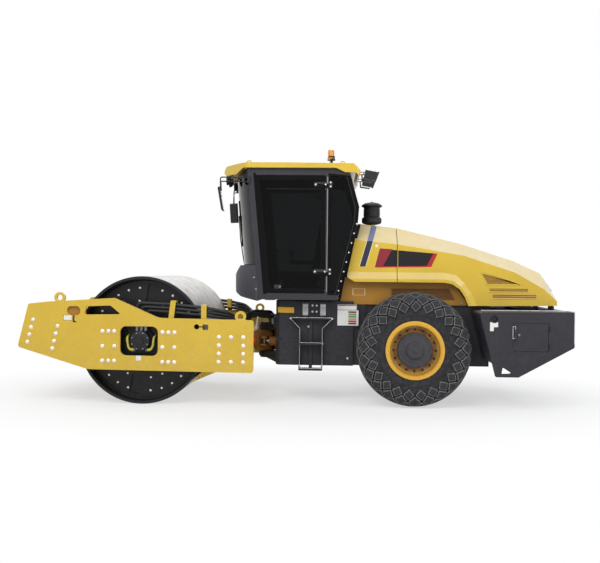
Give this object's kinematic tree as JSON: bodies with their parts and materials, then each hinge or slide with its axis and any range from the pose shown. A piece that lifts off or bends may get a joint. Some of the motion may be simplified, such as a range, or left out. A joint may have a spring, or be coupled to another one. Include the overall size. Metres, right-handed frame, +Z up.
{
  "type": "single-drum road roller",
  "caption": "Articulated single-drum road roller: smooth steel drum in a plate frame, glazed cab, tilting engine hood, two rubber tyres and a rear counterweight box.",
  "frame": {"origin": "on the ground, under the middle of the machine's length and width", "axes": "+X forward towards the drum, +Y to the machine's left, +Z up"},
  "size_m": [6.8123, 2.45, 3.2548],
  "materials": {
    "frame_yellow": "semi-gloss machine paint",
    "cover_yellow": "gloss machine paint",
    "chassis_black": "satin black paint",
    "cab_grey": "satin dark grey paint",
    "glass_tint": "dark tinted safety glass",
    "drum_steel": "worn bare steel",
    "head_black": "satin black paint",
    "tyre_rubber": "moulded tread",
    "hub_grey": "painted casting",
    "cast_black": "painted casting",
    "rubber_black": "moulded rubber",
    "hose_black": "hose cover",
    "plastic_black": "moulded",
    "seat_fabric": "woven seat cloth",
    "amber_lens": "translucent amber",
    "rod_chrome": "hard chrome",
    "engine_paint": "painted casting",
    "lock_red": "satin red paint"
  },
  "bodies": {
    "rear_frame": {"hinge_lugs": "chassis_black", "rear_axle": "cast_black", "chassis_box": "chassis_black", "chassis_rails": "chassis_black", "rear_box": "chassis_black", "box_doors": "chassis_black", "steps": "chassis_black", "cab_floor": "cab_grey", "cab_side_left": "cab_grey", "cab_side_right": "cab_grey", "cab_front_header": "cab_grey", "cab_rear_header": "cab_grey", "cab_rear_wall": "cab_grey", "cab_front_cover": "cab_grey", "cab_roof": "cover_yellow", "windscreen": "glass_tint", "rear_glass": "glass_tint", "quarter_glass": "glass_tint", "driver_seat": "seat_fabric", "steering_column": "plastic_black", "mirrors": "plastic_black", "work_lights": "plastic_black", "beacon": "amber_lens", "cowl": "cover_yellow", "bay_panels": "cover_yellow", "engine_block": "engine_paint", "radiator": "engine_paint", "pre_cleaner": "plastic_black", "hood_hinges": "chassis_black"},
    "link": {"hinge_link": "frame_yellow"},
    "front_frame": {"side_plate_left": "frame_yellow", "side_plate_right": "frame_yellow", "cross_member_front": "frame_yellow", "cross_member_rear": "frame_yellow", "drum_mounts": "cast_black", "drum_buffers": "rubber_black", "drum_motors": "cast_black", "scrapers": "frame_yellow", "drum_hoses": "hose_black", "hose_guides": "frame_yellow", "lock_bar": "lock_red"},
    "drum": {"drum_shell": "drum_steel", "drum_heads": "head_black"},
    "wheel_left": {"tyre_left": "tyre_rubber", "rim_left": "cover_yellow", "wheel_hub_left": "hub_grey"},
    "wheel_right": {"tyre_right": "tyre_rubber", "rim_right": "cover_yellow", "wheel_hub_right": "hub_grey"},
    "door_leaf_left": {"door_left": "cab_grey", "door_glass_left": "glass_tint"},
    "door_leaf_right": {"door_right": "cab_grey", "door_glass_right": "glass_tint"},
    "engine_hood": {"hood": "cover_yellow"},
    "cylinder_barrel_left": {"steer_barrel_left": "cast_black"},
    "cylinder_barrel_right": {"steer_barrel_right": "cast_black"},
    "cylinder_rod_left": {"steer_rod_left": "rod_chrome"},
    "cylinder_rod_right": {"steer_rod_right": "rod_chrome"}
  },
  "joints": [
    {"name": "steer", "type": "hinge", "parent": "rear_frame", "child": "link", "pos_m": [0.4255, 0, 0.74], "axis": [0, 0, 1], "range_deg": [-33, 33]},
    {"name": "oscillate", "type": "hinge", "parent": "link", "child": "front_frame", "pos_m": [0.4255, 0, 0.74], "axis": [1, 0, 0], "range_deg": [-10, 10]},
    {"name": "drum_turn", "type": "hinge", "parent": "front_frame", "child": "drum", "pos_m": [1.8855, 0, 0.8], "axis": [0, 1, 0], "continuous": true},
    {"name": "wheel_left_turn", "type": "hinge", "parent": "rear_frame", "child": "wheel_left", "pos_m": [-1.5165, 0.84, 0.718], "axis": [0, 1, 0], "continuous": true},
    {"name": "wheel_right_turn", "type": "hinge", "parent": "rear_frame", "child": "wheel_right", "pos_m": [-1.5165, -0.84, 0.718], "axis": [0, 1, 0], "continuous": true},
    {"name": "door_left_swing", "type": "hinge", "parent": "rear_frame", "child": "door_leaf_left", "pos_m": [-0.4195, 0.815, 2.15], "axis": [0, 0, 1], "range_deg": [0, 95]},
    {"name": "door_right_swing", "type": "hinge", "parent": "rear_frame", "child": "door_leaf_right", "pos_m": [-0.4195, -0.815, 2.15], "axis": [0, 0, -1], "range_deg": [0, 95]},
    {"name": "hood_tilt", "type": "hinge", "parent": "rear_frame", "child": "engine_hood", "pos_m": [-3.3425, 0, 1.248], "axis": [0, -1, 0], "range_deg": [0, 55]},
    {"name": "cylinder_left_turn", "type": "hinge", "parent": "rear_frame", "child": "cylinder_barrel_left", "pos_m": [-0.2145, 0.24, 0.74], "axis": [0, 0, 1], "range_deg": [-8, 8]},
    {"name": "cylinder_left_slide", "type": "slide", "parent": "cylinder_barrel_left", "child": "cylinder_rod_left", "axis": [1, 0, 0], "range_m": [-0.135, 0.135]},
    {"name": "cylinder_right_turn", "type": "hinge", "parent": "rear_frame", "child": "cylinder_barrel_right", "pos_m": [-0.2145, -0.24, 0.74], "axis": [0, 0, 1], "range_deg": [-8, 8]},
    {"name": "cylinder_right_slide", "type": "slide", "parent": "cylinder_barrel_right", "child": "cylinder_rod_right", "axis": [1, 0, 0], "range_m": [-0.135, 0.135]}
  ],
  "couplings": [
    {"joint": "cylinder_left_turn", "follows": "steer", "ratio": -0.0223},
    {"joint": "cylinder_left_slide", "follows": "steer", "m_per_rad": -0.2265},
    {"joint": "cylinder_right_turn", "follows": "steer", "ratio": -0.0223},
    {"joint": "cylinder_right_slide", "follows": "steer", "m_per_rad": 0.2265}
  ]
}
